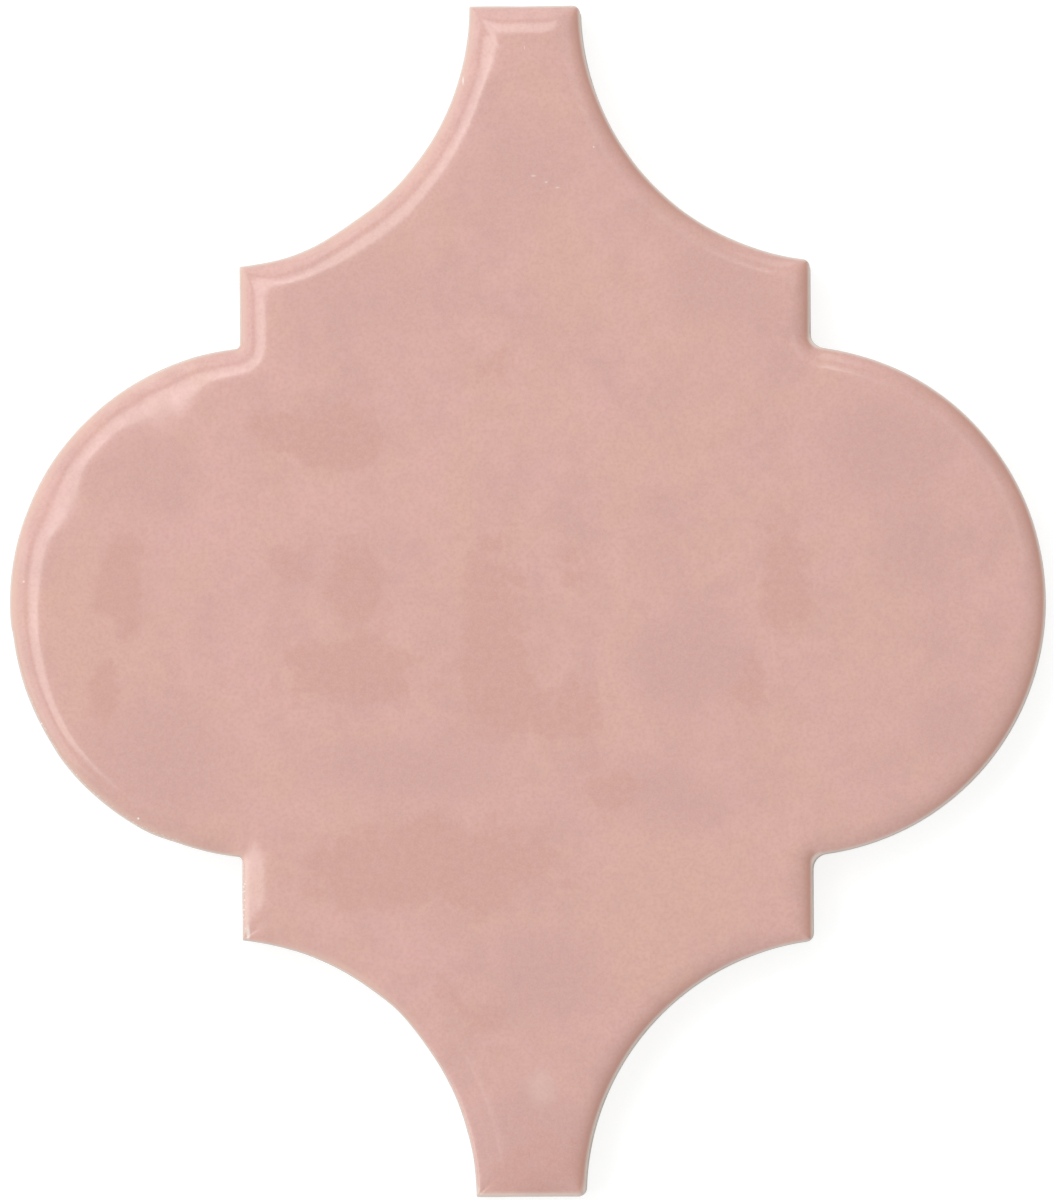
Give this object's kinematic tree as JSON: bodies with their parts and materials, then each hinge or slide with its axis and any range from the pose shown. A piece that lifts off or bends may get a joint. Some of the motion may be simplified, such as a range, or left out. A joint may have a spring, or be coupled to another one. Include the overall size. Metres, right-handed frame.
{
  "type": "moroccan arabesque tile",
  "caption": "Lantern-shaped glazed wall tile with round side lobes, hollow flanks beside its necks, a sloping rim round the face and a keyed back.",
  "frame": {"origin": "middle of the tile's back, which is also the middle of its footprint", "axes": "+Z out of the glazed face, +Y along the tile from neck to neck, +X across it from lobe to lobe"},
  "size_m": [0.1306, 0.15, 0.009],
  "materials": {
    "glaze": "gloss"
  },
  "bodies": {
    "root": {"tile": "glaze"}
  },
  "joints": []
}
